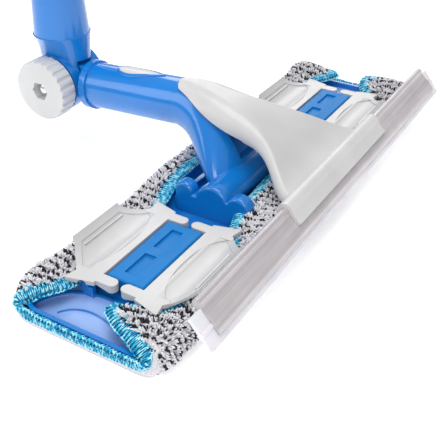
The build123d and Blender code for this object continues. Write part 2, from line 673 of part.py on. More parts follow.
# ---- build ----
save(pad_cloth(), "pad_cloth", WHITE)
save(pad_backing(), "pad_backing", WHITE)
save(pad_hem(), "pad_hem", CYAN)
save(base_plate(), "base_plate", PALE_BLUE)
save(flap_hinge_rods(), "flap_hinge_rods", STEEL)
save(hinge_cradle(), "hinge_cradle", BLUE)
save(hinge_pin(), "hinge_pin", STEEL)
save(cradle_screws(), "cradle_screws", STEEL)
for end, x in (("near", -STATION_X), ("far", STATION_X)):
    save(pedal_button(x), f"pedal_button_{end}", BLUE)
    save(leaf_spring(x), f"leaf_spring_{end}", STEEL)
    left = Pos(x, 0, 0) * flap()
    save(left, f"flap_{end}_left", LIGHT_GREY)
    save(mirrored_y(left), f"flap_{end}_right", LIGHT_GREY)
save(neck(), "neck", BLUE)
save(neck_badge(), "neck_badge", LIGHT_GREY)
save(squeegee_arm(), "squeegee_arm", LIGHT_GREY)
save(squeegee_channel(), "squeegee_channel", WARM_GREY)
save(squeegee_blade(), "squeegee_blade", RUBBER)
save(pole_yoke(), "pole_yoke", BLUE)
save(pivot_bolt(), "pivot_bolt", STEEL)
save(friction_washers(), "friction_washers", WARM_GREY)
save(pivot_washer(), "pivot_washer", STEEL)
save(knob_nut(), "knob_nut", STEEL)
save(locking_knob(), "locking_knob", WHITE)
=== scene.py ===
import json
import math

import bpy
import numpy as np
from mathutils import Matrix, Vector
from mathutils.bvhtree import BVHTree

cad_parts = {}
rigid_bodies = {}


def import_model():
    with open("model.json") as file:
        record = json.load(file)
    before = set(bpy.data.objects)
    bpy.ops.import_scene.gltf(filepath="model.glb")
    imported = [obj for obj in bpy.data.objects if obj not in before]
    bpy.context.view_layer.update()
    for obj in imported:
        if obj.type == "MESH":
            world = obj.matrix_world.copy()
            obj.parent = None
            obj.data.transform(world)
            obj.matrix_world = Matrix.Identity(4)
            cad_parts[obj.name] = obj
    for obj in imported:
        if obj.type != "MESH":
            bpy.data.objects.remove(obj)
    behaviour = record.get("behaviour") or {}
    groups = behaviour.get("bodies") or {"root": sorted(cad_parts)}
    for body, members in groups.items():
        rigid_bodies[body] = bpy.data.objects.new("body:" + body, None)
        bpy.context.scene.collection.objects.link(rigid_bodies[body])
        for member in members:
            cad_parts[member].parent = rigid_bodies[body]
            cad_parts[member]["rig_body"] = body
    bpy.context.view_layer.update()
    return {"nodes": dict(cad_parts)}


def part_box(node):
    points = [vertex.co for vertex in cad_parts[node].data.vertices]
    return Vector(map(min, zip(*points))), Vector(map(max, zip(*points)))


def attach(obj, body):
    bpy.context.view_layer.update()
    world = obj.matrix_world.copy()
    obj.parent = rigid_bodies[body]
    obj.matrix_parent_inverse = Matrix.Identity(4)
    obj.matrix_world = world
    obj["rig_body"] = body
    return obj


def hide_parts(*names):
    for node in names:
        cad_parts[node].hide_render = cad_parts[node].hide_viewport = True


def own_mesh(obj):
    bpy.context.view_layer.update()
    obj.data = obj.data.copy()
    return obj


# A flat mop head with a squeegee. Metres: +X along the head, +Y towards the tilt joint, +Z up.

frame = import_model()
nodes = frame["nodes"]
scene = bpy.context.scene

MM = 0.001
rng = np.random.default_rng(7)       # the pile's tufts


def scaled(color, factor):
    """A colour made darker or lighter by a factor, up to white."""
    return tuple(min(1.0, factor * c) for c in color)


# ---- materials ----
class Shader:
    """Builds one node material. Each method adds a node and returns its output."""

    def __init__(self, name):
        self.material = bpy.data.materials.new(name)
        self.material.use_nodes = True
        self.tree = self.material.node_tree
        self.bsdf = self.tree.nodes["Principled BSDF"]
        self.coord = self.tree.nodes.new("ShaderNodeTexCoord").outputs["Object"]

    def link(self, out, socket):
        """Joins an output to an input."""
        self.tree.links.new(out, socket)

    def node(self, kind, inputs=None, **settings):
        """A new node. Inputs are sockets to link or plain values; settings are the node's own properties."""
        n = self.tree.nodes.new(kind)
        for key, value in settings.items():
            setattr(n, key, value)
        for key, value in (inputs or {}).items():
            if isinstance(value, bpy.types.NodeSocket):
                self.link(value, n.inputs[key])
            else:
                n.inputs[key].default_value = value
        return n

    def noise(self, scale, detail=2.0, vector=None, rough=0.5, distortion=0.0):
        """Noise from 0 to 1 over the object's own coordinates, or over another vector."""
        n = self.node("ShaderNodeTexNoise", {"Scale": scale, "Detail": detail, "Roughness": rough,
                                             "Distortion": distortion, "Vector": vector or self.coord})
        return n.outputs["Fac"]

    def stretched(self, scale):
        """Object coordinates scaled by a factor along each axis."""
        n = self.node("ShaderNodeMapping", {"Vector": self.coord, "Scale": scale})
        return n.outputs["Vector"]

    def ramp(self, fac, stops):
        """A colour ramp through (place, colour) stops."""
        n = self.node("ShaderNodeValToRGB", {"Fac": fac})
        band = n.color_ramp
        while len(band.elements) < len(stops):
            band.elements.new(0.5)
        for element, (place, value) in zip(band.elements, stops):
            element.position = place
            element.color = (*value, 1.0)
        return n.outputs["Color"]

    def range(self, fac, low, high, start=0.0, end=1.0):
        """A value carried from start..end to low..high."""
        n = self.node("ShaderNodeMapRange", {"Value": fac, "From Min": start, "From Max": end,
                                             "To Min": low, "To Max": high})
        return n.outputs["Result"]

    def math(self, operation, a, b=0.0):
        """The result of one operation on two values."""
        return self.node("ShaderNodeMath", {0: a, 1: b}, operation=operation).outputs[0]

    def mix(self, fac, a, b):
        """Colour a where fac is 0, colour b where it is 1."""
        n = self.node("ShaderNodeMix", data_type="RGBA")
        for key, value in ((0, fac), (6, a), (7, b)):
            if isinstance(value, bpy.types.NodeSocket):
                self.link(value, n.inputs[key])
            else:
                n.inputs[key].default_value = value if key == 0 else (*value, 1.0)
        return n.outputs[2]

    def soft_edge(self, radius):
        """Normals rounded over the edges."""
        return self.node("ShaderNodeBevel", {"Radius": radius}, samples=6).outputs["Normal"]

    def edge_mask(self, normal):
        """1 along worn convex and concave edges, 0 on flat faces."""
        flat = self.node("ShaderNodeNewGeometry").outputs["Normal"]
        dot = self.node("ShaderNodeVectorMath", {0: normal, 1: flat}, operation="DOT_PRODUCT")
        return self.range(self.math("SUBTRACT", 1.0, dot.outputs["Value"]), 0.0, 1.0, 0.0, 0.12)

    def bump(self, height, strength, distance, normal=None):
        """Normals tilted by a height map, on top of other normals where they are given."""
        inputs = {"Height": height, "Strength": strength, "Distance": distance}
        if normal is not None:
            inputs["Normal"] = normal
        return self.node("ShaderNodeBump", inputs).outputs["Normal"]

    def set(self, **values):
        """Fills inputs of the principled shader by short names, and returns the finished material."""
        names = {"color": "Base Color", "rough": "Roughness", "metal": "Metallic", "normal": "Normal",
                 "coat": "Coat Weight", "coat_rough": "Coat Roughness", "specular": "Specular IOR Level",
                 "sheen": "Sheen Weight", "sheen_rough": "Sheen Roughness",
                 "sss": "Subsurface Weight", "sss_scale": "Subsurface Scale"}
        for key, value in values.items():
            socket = self.bsdf.inputs[names[key]]
            if isinstance(value, bpy.types.NodeSocket):
                self.link(value, socket)
            elif key == "color":
                socket.default_value = (*value, 1.0)
            else:
                socket.default_value = value
        return self.material


def moulded_plastic(name, color, worn, rough, coat, specular=0.5):
    """Injection-moulded plastic: faint flow marks, fine surface grain, rubbed edges."""
    s = Shader(name)
    normal = s.soft_edge(0.5 * MM)
    flow = s.range(s.noise(22.0, 3.0, distortion=0.6), 0.0, 1.0, 0.3, 0.7)
    tone = s.mix(flow, scaled(color, 0.93), scaled(color, 1.06))
    scuff = s.math("MULTIPLY", s.edge_mask(normal), s.range(s.noise(260.0, 3.0), 0.15, 0.75, 0.35, 0.7))
    shade = s.mix(scuff, tone, worn)
    scratches = s.noise(90.0, 5.0, vector=s.stretched((0.25, 1.0, 1.0)), rough=0.7)
    grain = s.bump(s.noise(1800.0, 2.0), 0.02, 0.2 * MM, normal)
    waves = s.bump(s.noise(35.0, 1.0), 0.03, 2.0 * MM, grain)
    return s.set(color=shade, rough=s.range(scratches, rough * 0.8, rough * 1.25, 0.3, 0.7), normal=waves,
                 coat=coat, coat_rough=0.04, specular=specular)


BLUE = (0.004, 0.180, 0.58)
BUTTON_BLUE = (0.004, 0.175, 0.50)
BLUE_WORN = (0.03, 0.26, 0.72)
GREY = (0.560, 0.552, 0.550)
WHITE_PLASTIC = (0.60, 0.60, 0.605)
# Paler blue for the end trays' floors: painted reflection of the bright surroundings, not the plastic's own
# colour.
TRAY_PAINTED_REFLECTION = (0.22, 0.38, 0.74), (0.30, 0.46, 0.84)
TRAY_LENGTH = 32 * MM                # the open tray at each end of the plate
TRAY_FLOOR = 2.5 * MM                # height of its floor above the plate's underside

mats = {
    "blue": moulded_plastic("blue_gloss", BLUE, BLUE_WORN, 0.16, 0.4),
    "button": moulded_plastic("button_blue", BUTTON_BLUE, BLUE_WORN, 0.42, 0.0, specular=0.2),
    "grey": moulded_plastic("grey_satin", GREY, (0.74, 0.74, 0.75), 0.34, 0.12),
    "knob": moulded_plastic("knob_satin", WHITE_PLASTIC, (0.82, 0.82, 0.83), 0.38, 0.05),
}


def plate_material():
    """Blue plate, glossy all over; the floors of its two end trays, inside the raised rim, are painted paler
    as a painted reflection of the bright surroundings.
    """
    s = Shader("plate_blue")
    normal = s.soft_edge(0.4 * MM)
    split = s.node("ShaderNodeSeparateXYZ", {"Vector": s.coord})
    low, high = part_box("base_plate")
    floor_z = low.z + TRAY_FLOOR
    above = s.range(split.outputs["Z"], 1.0, 0.0, floor_z + 0.15 * MM, floor_z + 0.5 * MM)
    tray_x = high.x - TRAY_LENGTH
    outside = s.range(s.math("ABSOLUTE", split.outputs["X"]), 0.0, 1.0, tray_x - 0.5 * MM, tray_x)
    flow = s.noise(18.0, 3.0, distortion=0.8)
    # Painted reflection: the tray floors' paler blue stands in for the bright surroundings seen in the gloss.
    tray = s.mix(s.range(flow, 0.0, 1.0, 0.3, 0.7), *TRAY_PAINTED_REFLECTION)
    color = s.mix(s.math("MULTIPLY", above, outside), BLUE, tray)
    scratches = s.noise(120.0, 5.0, vector=s.stretched((1.0, 0.3, 1.0)), rough=0.7)
    normal = s.bump(s.noise(1500.0, 2.0), 0.02, 0.2 * MM, normal)
    return s.set(color=color, rough=s.range(scratches, 0.10, 0.2, 0.3, 0.7), normal=normal, coat=0.4,
                 coat_rough=0.05)


def metal(name, color, rough, direction, strength, metallic=1.0, lined=0.0):
    """Drawn or plated metal with fine lines along one direction, darkened by up to lined."""
    s = Shader(name)
    normal = s.soft_edge(0.3 * MM)
    lines = s.noise(1.0, 4.0, vector=s.stretched(direction), rough=0.7)
    stain = s.noise(60.0, 4.0)
    tone = s.mix(s.range(stain, 0.0, 1.0, 0.35, 0.7), scaled(color, 0.86), color)
    tone = s.mix(s.range(lines, 0.0, lined, 0.40, 0.62), tone, scaled(color, 0.66))
    normal = s.bump(lines, strength, 0.1 * MM, normal)
    return s.set(color=tone, metal=metallic, normal=normal,
                 rough=s.range(lines, rough * 0.75, rough * 1.3, 0.3, 0.7))


mats["plate"] = plate_material()
mats["channel"] = metal("channel_satin", (0.66, 0.615, 0.63), 0.36, (5.0, 420.0, 420.0), 0.6,
                        metallic=0.35, lined=0.75)
mats["steel"] = metal("zinc_steel", (0.72, 0.72, 0.74), 0.2, (900.0, 900.0, 900.0), 0.05)


def rubber_material():
    """Pale translucent squeegee rubber."""
    s = Shader("pale_rubber")
    normal = s.soft_edge(0.2 * MM)
    cloud = s.noise(40.0, 4.0)
    tone = s.mix(s.range(cloud, 0.0, 1.0, 0.3, 0.7), (0.66, 0.66, 0.70), (0.78, 0.78, 0.82))
    lines = s.noise(1.0, 3.0, vector=s.stretched((10.0, 500.0, 500.0)))
    normal = s.bump(lines, 0.08, 0.1 * MM, normal)
    return s.set(color=tone, rough=s.range(cloud, 0.25, 0.4, 0.3, 0.7), normal=normal,
                 sss=0.25, sss_scale=2 * MM)


def fibre_material():
    """Dark pressed fibre for the friction washers."""
    s = Shader("friction_fibre")
    speck = s.noise(1400.0, 4.0)
    tone = s.mix(s.range(speck, 0.0, 1.0, 0.35, 0.65), (0.05, 0.045, 0.04), (0.14, 0.13, 0.12))
    return s.set(color=tone, rough=s.range(speck, 0.6, 0.85), normal=s.bump(speck, 0.4, 0.2 * MM))


mats["rubber"] = rubber_material()
mats["fibre"] = fibre_material()


def paint(node, material):
    """Gives a CAD node a material in place of its packed one."""
    mesh = nodes[node].data
    mesh.materials.clear()
    mesh.materials.append(material)


FINISH = {
    "blue": ["hinge_cradle", "neck", "pole_yoke"],
    "button": ["pedal_button_near", "pedal_button_far"],
    "grey": ["squeegee_arm", "neck_badge", "flap_near_left", "flap_near_right", "flap_far_left",
             "flap_far_right"],
    "knob": ["locking_knob"],
    "plate": ["base_plate"],
    "channel": ["squeegee_channel"],
    "rubber": ["squeegee_blade"],
    "fibre": ["friction_washers"],
    "steel": ["flap_hinge_rods", "hinge_pin", "cradle_screws", "leaf_spring_near", "leaf_spring_far",
              "pivot_bolt", "pivot_washer", "knob_nut"],
}
for key, names in FINISH.items():
    for name in names:
        paint(name, mats[key])


# ---- microfibre pad: wrapped core, tufted pile and bound edge ----
# The pad is laid out in millimetres from the plate, as a grid of points: stations round its edge, and at
# each a section that runs from the middle of the underside, up the side, over the lip and back inside.
PLATE_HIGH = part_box("base_plate")[1]
PAD_END = PLATE_HIGH.x / MM
HALF_W = PLATE_HIGH.y / MM
OVERHANG = 2.0                       # how far the pad reaches past the plate's ends
PAD_MIDDLE = np.array([0.0, 0.0, 8.0])
STEP = 2.5                           # spacing of the stations round the edge
SPLINE_STEPS = 16                    # points on the edge's curve between two rows
UNDERSIDE_Z = 2.3                    # the pad's body under the plate, below and above
LINING_Z = 3.5
SIDE_FROM = 5                        # column of the section where the underside turns up into the side
FREE_FROM = 7                        # first column that can swell
LUMP_HEIGHT = 0.55                   # the pad's lumps before it swells
LUMP_SIZE = (7.0, 4.0)               # in stations and columns
LUMP_SEED = 3
PRESSURE = 4.0                       # of the cloth simulation that swells the pad
SWELL_FRAMES = 20
SWELL_CAP = 1.6                      # farthest that a point may move

PILE_LENGTH = 3.0
PILE_PITCH = 1.3
UNDER_PITCH = 1.7                    # the underside's tufts, against the side's: wider apart
UNDER_LENGTH = 0.66                  # and shorter
TAPER = 14.0                         # distance from the pad's ends over which the tufts shorten
TUFT_SIDES = 4
STREAK = 7.2                         # spacing of the black streaks
DASH = 9.0                           # and length of their dashes
BLACK_FROM = 0.36                    # a tuft is black where streaks() is above this
CLAMPED = (64.0, 148.0, 36.0)        # |x| from, |x| to and |y| where the tufts under the clamps are shorter
UNDER_ARM = (64.0, -30.0)            # |x| and y up to which those under the squeegee's arm are
PRESSED_LENGTH = 0.5

LIP_FROM = 6.0                       # height above which a point belongs to a lip
RELIEF_KEPT = 0.12                   # share of its relief that the pad keeps where a flap presses on it
CORE_PRESS = (1.2, 3.0)              # gap under the flaps and reach round them, for each pad piece
HEM_PRESS = (0.8, 1.6)
THREAD_PRESS = (0.4, 0.9)
PILE_PRESS = (0.2, 0.6)

HEM_A, HEM_B = 3.5, 1.4              # half width and half thickness of the bound edge
HEM_AROUND = 14
HEM_STEP = 1.6
HEM_TILT = (14.0, 66.0)              # its slope in degrees, and how much steeper it is at the low ends
THREAD_R = 0.36
THREAD_PITCH = 2.1
THREAD_PER_TURN = 14
THREAD_SIDES = 4
RUNNING_STEP = 0.45                  # the two threads that run along the edge

# The pad's edge, row by row: outer edge (inwards from the plate's end, y), middle of the bound edge
# (inwards from the plate's end, y, z) and top of the puffed lip. The lips fold in at both ends.
POLE_SIDE = [
    (171.5, 50.0, 171.5, 40.5, 15.6, 19.0),
    (141.0, 50.2, 141.0, 38.5, 15.8, 19.5),
    (115.0, 49.6, 114.0, 32.0, 15.0, 18.0),
    (107.0, 49.3, 106.0, 28.5, 13.4, 17.0),
    (98.0, 49.0, 97.0, 30.0, 12.4, 16.2),
    (66.0, 49.0, 66.0, 33.5, 12.4, 16.0),
    (40.0, 49.4, 42.0, 30.5, 12.4, 16.4),
    (32.0, 50.0, 34.0, 27.6, 12.8, 17.2),
]
NEAR_END = [
    (23.0, 50.2, 26.5, 26.5, 14.4, 18.2),
    (12.0, 49.2, 16.5, 30.5, 15.8, 18.4),
    (5.0, 46.6, 7.5, 37.0, 15.4, 17.0),
    (0.6, 43.6, 1.4, 42.2, 12.2, 12.8),
    (-1.7, 38.0, -1.6, 38.0, 9.2, 9.2),
    (-1.9, 22.0, -1.8, 22.0, 8.1, 8.1),
    (-1.9, 0.0, -1.8, 0.0, 8.1, 8.1),
    (-1.9, -22.0, -1.8, -22.0, 8.4, 8.4),
    (-1.9, -35.0, -1.8, -35.0, 8.8, 8.8),
    (-0.8, -41.8, -0.8, -40.8, 10.2, 10.4),
    (3.0, -44.6, 2.6, -36.8, 13.8, 14.8),
    (9.0, -46.0, 7.0, -27.0, 15.6, 18.6),
    (16.0, -46.0, 13.0, -12.5, 16.0, 19.0),
    (22.0, -46.0, 19.5, -5.5, 15.6, 17.8),
    (26.0, -46.0, 23.0, -12.0, 14.6, 16.6),
    (30.0, -46.0, 25.0, -23.0, 13.4, 15.6),
]
FAR_END = [
    (23.0, 50.2, 22.0, 27.0, 16.5, 19.5),
    (13.0, 49.6, 13.0, 19.5, 18.0, 23.0),
    (6.0, 47.6, 4.5, 16.5, 18.6, 24.0),
    (1.5, 44.6, 0.5, 26.0, 17.0, 21.0),
    (-1.4, 40.0, -0.8, 36.0, 12.0, 12.8),
    (-1.9, 30.0, -1.8, 28.0, 8.6, 8.6),
    (-1.9, 0.0, -1.8, 0.0, 8.0, 8.0),
    (-1.9, -24.0, -1.8, -24.0, 8.2, 8.2),
    (-1.6, -37.0, -1.5, -36.5, 10.6, 10.8),
    (0.5, -42.5, 0.6, -34.0, 16.6, 18.4),
    (4.5, -45.5, 3.0, -22.0, 21.5, 24.0),
    (11.0, -46.0, 7.0, -13.5, 22.0, 25.0),
    (19.0, -46.0, 16.0, -15.0, 18.4, 22.0),
    (27.0, -46.0, 24.0, -23.0, 14.4, 18.0),
]
SQUEEGEE_SIDE = [
    (34.0, -45.8, 33.0, -27.5, 12.4, 15.6),
    (41.0, -45.8, 42.0, -30.5, 12.4, 15.6),
    (66.0, -45.6, 66.0, -33.5, 12.4, 16.0),
    (96.0, -45.8, 96.0, -30.0, 12.4, 16.2),
    (105.0, -46.0, 104.0, -26.8, 13.6, 17.0),
    (114.0, -46.4, 112.0, -23.5, 16.0, 18.8),
    (133.0, -46.6, 134.0, -18.5, 17.4, 20.4),
    (150.0, -46.4, 150.0, -17.0, 16.4, 18.6),
    (171.5, -46.4, 171.5, -15.5, 16.2, 18.4),
]


def edge_rows():
    """The whole edge as rows of outer x, y, bound edge x, y, z and crown z."""
    near = [(i - PAD_END, y, j - PAD_END, hy, hz, top) for i, y, j, hy, hz, top in
            POLE_SIDE + NEAR_END + SQUEEGEE_SIDE]
    far = [(PAD_END - i, y, PAD_END - j, hy, hz, top) for i, y, j, hy, hz, top in
           POLE_SIDE[1:] + FAR_END + SQUEEGEE_SIDE[:-1]]
    return np.array(near + far[::-1])


def closed_spline(rows, count):
    """Points spread evenly along the closed Catmull-Rom curve through the rows."""
    t = np.linspace(0, 1, SPLINE_STEPS, endpoint=False)[:, None]
    parts = []
    for k in range(len(rows)):
        a, b, c, d = (rows[(k + j) % len(rows)] for j in (-1, 0, 1, 2))
        square = (2 * a - 5 * b + 4 * c - d) * t**2
        cube = (3 * b - a - 3 * c + d) * t**3
        parts.append(0.5 * (2 * b + (c - a) * t + square + cube))
    line = np.concatenate(parts)
    line = np.concatenate([line, line[:1]])
    gap = 0.5 * np.linalg.norm(np.diff(line[:, :2], axis=0), axis=1)
    gap += 0.5 * np.linalg.norm(np.diff(line[:, 2:5], axis=0), axis=1)
    along = np.concatenate([[0], np.cumsum(gap)])
    at = np.arange(count) * along[-1] / count
    return np.stack([np.interp(at, along, line[:, k]) for k in range(rows.shape[1])], axis=1)


def ridge_noise(shape, scale, seed):
    """Smooth random values from -1 to 1 over a grid, periodic along its first axis. Scale is in steps."""
    r = np.random.default_rng(seed)
    n, m = max(4, int(shape[0] / scale[0])), max(3, int(shape[1] / scale[1]) + 2)
    coarse = r.uniform(-1, 1, (n, m))
    u = np.arange(shape[0]) * n / shape[0]
    v = np.arange(shape[1]) * (m - 1.001) / max(1, shape[1] - 1)
    i, j = u.astype(int), v.astype(int)
    fu, fv = (u - i)[:, None], (v - j)[None, :]
    fu, fv = fu * fu * (3 - 2 * fu), fv * fv * (3 - 2 * fv)
    i1 = (i + 1) % n
    top = coarse[i][:, j] * (1 - fv) + coarse[i][:, j + 1] * fv
    low = coarse[i1][:, j] * (1 - fv) + coarse[i1][:, j + 1] * fv
    return top * (1 - fu) + low * fu


def pad_sections():
    """The grid of points, the number of columns that carry pile, and the edge's own line."""
    rows = edge_rows()
    count = int(2 * (2 * PAD_END + 2 * HALF_W + 120) / STEP)
    line = closed_spline(rows, count)
    outer, hem, hem_z, crown = line[:, :2], line[:, 2:4], line[:, 4], line[:, 5]
    lip = hem - outer
    width = np.maximum(np.linalg.norm(lip, axis=1), 0.3)
    inward = lip / width[:, None]
    hem_in = np.minimum(2.6, 0.45 * width)

    def place(distance, z):
        """A column at a distance inwards from the outer edge."""
        d = np.broadcast_to(distance, width.shape)
        return np.concatenate([outer + inward * d[:, None], np.broadcast_to(z, width.shape)[:, None]], axis=1)

    def under(share, z):
        """A column under or over the plate, at a share of its half width."""
        scale = np.array([1 - (1 - share) * HALF_W / PAD_END, share])
        return np.concatenate([outer * scale, np.full((len(outer), 1), z)], axis=1)

    reach = width - hem_in
    shoulder = np.minimum(5.0, 0.32 * width)
    rounded = np.minimum(1, width / 9)
    profile = [under(s, UNDERSIDE_Z) for s in (0.0, 0.3, 0.6, 0.82, 0.91)]
    profile += [under(0.965, 2.7), place(0.3 * rounded, 0.28 * crown), place(0.0, 0.5 * crown),
                place(0.25 * rounded, 0.72 * crown), place(shoulder * 0.42, 0.9 * crown),
                place(shoulder, 0.985 * crown)]
    for s in (0.2, 0.4, 0.6, 0.8, 1.0):
        z = crown + (hem_z + 0.4 - crown) * s * s
        profile.append(place(shoulder + (reach - shoulder) * s, z))
    pile_to = len(profile)
    back = np.minimum(3.4, 0.55 * width)
    profile += [place(reach, hem_z - 1.6), place(0.5 * (reach + back), 0.5 * (hem_z + crown) - 3.6),
                place(back, 0.74 * crown), place(back, 0.4 * crown)]
    profile += [under(s, LINING_Z) for s in (0.9, 0.5, 0.0)]
    return np.stack(profile, axis=1), pile_to, line


def grid_mesh(name, points):
    """A mesh of quads over a grid that closes along its first axis. Points are in millimetres."""
    n, m = points.shape[:2]
    faces = [(i * m + j, i * m + j + 1, (i + 1) % n * m + j + 1, (i + 1) % n * m + j)
             for i in range(n) for j in range(m - 1)]
    return mesh_piece(name, points.reshape(-1, 3), faces)


def mesh_piece(name, points, faces, materials=(), index=None):
    """A smooth mesh object. Points are in millimetres; index picks a material for each face."""
    mesh = bpy.data.meshes.new(name)
    mesh.from_pydata((points * MM).tolist(), [], faces if isinstance(faces, list) else faces.tolist())
    for material in materials:
        mesh.materials.append(material)
    if index is not None:
        mesh.polygons.foreach_set("material_index", index)
    mesh.polygons.foreach_set("use_smooth", np.ones(len(mesh.polygons), bool))
    mesh.update()
    obj = bpy.data.objects.new(name, mesh)
    scene.collection.objects.link(obj)
    return obj


def coordinates(mesh):
    """The mesh's points in metres, one row each."""
    co = np.zeros(len(mesh.vertices) * 3, np.float32)
    mesh.vertices.foreach_get("co", co)
    return co.reshape(-1, 3)


def simulate(obj, pinned, cap):
    """Swells the free part of a padded piece with Blender's cloth, and applies the result to its mesh."""
    group = obj.vertex_groups.new(name="pinned")
    group.add([int(i) for i in np.flatnonzero(pinned)], 1.0, "REPLACE")
    cloth = obj.modifiers.new("swell", "CLOTH")
    cloth.settings.vertex_group_mass = "pinned"
    cloth.settings.use_pressure = True
    cloth.settings.uniform_pressure_force = PRESSURE
    cloth.settings.shrink_min = -0.03
    cloth.settings.effector_weights.gravity = 0.0
    cloth.settings.quality = 4
    cloth.collision_settings.use_collision = False
    cloth.point_cache.frame_end = SWELL_FRAMES
    for frame_number in range(1, SWELL_FRAMES + 1):
        scene.frame_set(frame_number)
    rest = coordinates(obj.data)
    step = coordinates(obj.evaluated_get(bpy.context.evaluated_depsgraph_get()).data) - rest
    far = np.linalg.norm(step, axis=1, keepdims=True)
    step *= np.minimum(1.0, cap / np.maximum(far, 1e-9))
    obj.modifiers.remove(cloth)
    scene.frame_set(1)
    obj.data.vertices.foreach_set("co", (rest + step).ravel())
    obj.data.update()


def unit(v):
    """Vectors of length one, along the last axis."""
    return v / np.maximum(np.linalg.norm(v, axis=-1, keepdims=True), 1e-9)


def streaks(u, v, wobble):
    """From about -1 on a white ridge to 1 in a black streak: ragged lines across the edge, in dashes."""
    bend = 1.5 * np.sin(v / 4.6 + u / 31.0) + 0.5 * np.sin(v / 1.9 + u / 11.0) + 0.12 * wobble
    wave = np.cos(2 * np.pi * (u + bend) / STREAK)
    row = np.floor((u + bend) / STREAK + 0.5)
    dash = np.sin(2 * np.pi * v / DASH + 2.3 * np.sin(u / 9.0) + 2.1 * row)
    return wave + 0.24 * dash + 0.03 * wobble


def pile(points, pile_to, lip_width):
    """Short chenille tufts over the side, the lips and the underside, white with black streaks."""
    n, m = points.shape[:2]
    du = unit(np.roll(points, -1, 0) - np.roll(points, 1, 0))
    dv = np.gradient(points, axis=1)
    # The normals are turned so that on the whole they point away from the pad's middle.
    normal = unit(np.cross(du, unit(dv)))
    normal *= np.sign((normal * (points - PAD_MIDDLE)).sum(-1, keepdims=True).mean()) or 1
    v_along = np.cumsum(np.linalg.norm(np.diff(points, axis=1, prepend=points[:, :1]), axis=-1), axis=1)
    spots = []
    for j in range(pile_to - 1):
        a, b = points[:, j], points[:, j + 1]
        gap = np.linalg.norm(b - a, axis=1)
        pitch = PILE_PITCH * (UNDER_PITCH if j < SIDE_FROM - 1 else 1.0)
        ahead = np.linalg.norm(np.roll(points, -1, 0)[:, j] - a, axis=1) + 1e-6
        ahead = 0.5 * ahead + 0.5 * np.linalg.norm(np.roll(points, -1, 0)[:, j + 1] - b, axis=1)
        number = rng.poisson(gap * ahead / pitch**2)
        i = np.repeat(np.arange(n), number)
        spots.append(np.stack([i + rng.random(len(i)), np.full(len(i), j) + rng.random(len(i))], axis=1))
    spots = np.concatenate(spots)
    i0, j0 = spots[:, 0].astype(int) % n, np.minimum(spots[:, 1].astype(int), m - 2)
    fu, fv = (spots[:, 0] % 1)[:, None], (spots[:, 1] % 1)[:, None]

    def sample(field):
        """A field of the grid at every spot."""
        i1 = (i0 + 1) % n
        near = field[i0, j0] * (1 - fv) + field[i0, j0 + 1] * fv
        far = field[i1, j0] * (1 - fv) + field[i1, j0 + 1] * fv
        return near * (1 - fu) + far * fu

    root, up, across = sample(points), unit(sample(normal)), unit(sample(dv))
    # Tufts thin out on the narrow lip and near the underside's ends.
    on_side = spots[:, 1] >= SIDE_FROM
    from_end = PAD_END + OVERHANG - np.abs(root[:, 0])
    keep = np.where(on_side, (lip_width[i0] - 3.0) / 5.0, (from_end - 5.0) / 4.0) > rng.random(len(root))
    root, up, across, spots, from_end = root[keep], up[keep], across[keep], spots[keep], from_end[keep]
    v = sample(v_along[..., None])[keep, 0]
    u = spots[:, 0] * STEP
    wobble = rng.normal(size=len(root))
    streak = streaks(u, v, wobble)
    dark = streak > BLACK_FROM
    sideways = unit(np.cross(up, across))
    length = PILE_LENGTH * rng.uniform(0.7, 1.12, len(root))[:, None]
    length *= np.where(spots[:, 1:2] < SIDE_FROM, UNDER_LENGTH, 1.0)
    length *= (1.0 - 0.16 * np.clip(streak, -1, 1))[:, None]
    length *= np.clip(from_end / TAPER, 0.35, 1.0)[:, None]
    x, y = np.abs(root[:, 0]), np.abs(root[:, 1])
    pressed = (x > CLAMPED[0]) & (x < CLAMPED[1]) & (y < CLAMPED[2])
    pressed |= (x < UNDER_ARM[0]) & (root[:, 1] < UNDER_ARM[1])
    length *= np.where(pressed, PRESSED_LENGTH, 1.0)[:, None]
    lean = rng.normal(0, 0.14, (len(root), 1)) * sideways
    lean = lean + rng.normal(-0.1, 0.26, (len(root), 1)) * across
    tip = root + length * unit(up + lean)
    middle = root + 0.55 * length * unit(up + 0.6 * lean)
    radius = rng.uniform(0.5, 0.78, len(root))[:, None]
    turn = rng.uniform(0, np.pi / 2, len(root))
    sides = TUFT_SIDES
    rings = []
    for centre, size in ((root - 0.3 * up, 0.7), (middle, 1.0), (0.2 * middle + 0.8 * tip, 0.62)):
        for k in range(sides):
            a = (turn + k * 2 * np.pi / sides)[:, None]
            rings.append(centre + size * radius * (np.cos(a) * sideways + np.sin(a) * across))
    top = len(rings)
    rings.append(tip)
    rings = np.stack(rings, axis=1)
    rings[..., 2] = np.maximum(rings[..., 2], 0.05)
    walls = [(r + k, r + (k + 1) % sides, r + sides + (k + 1) % sides, r + sides + k)
             for r in (0, sides) for k in range(sides)]
    caps = [(top - sides + k, top - sides + (k + 1) % sides, top) for k in range(sides)]
    base = (top + 1) * np.arange(len(root))[:, None, None]
    quads = (base + np.array(walls)).reshape(-1, 4).tolist()
    tips = (base + np.array(caps)).reshape(-1, 3).tolist()
    index = np.concatenate([np.repeat(dark, len(walls)), np.repeat(dark, len(caps))]).astype(np.int32)
    yarns = (mats["pile_white"], mats["pile_black"])
    return mesh_piece("pad_pile", rings.reshape(-1, 3), quads + tips, yarns, index)


def tube(path, radius):
    """Points and faces of a thin thread along a closed path. The path and radius are in millimetres."""
    along = unit(np.roll(path, -1, 0) - np.roll(path, 1, 0))
    helper = np.where(np.abs(along[:, 2:3]) < 0.8, np.array([[0, 0, 1.0]]), np.array([[1.0, 0, 0]]))
    a = unit(np.cross(along, helper))
    b = np.cross(along, a)
    angles = np.linspace(0, 2 * np.pi, THREAD_SIDES, endpoint=False)
    ring = [path + radius * (math.cos(t) * a + math.sin(t) * b) for t in angles]
    return np.stack(ring, axis=1).reshape(-1, 3), ring_faces(len(path), THREAD_SIDES)


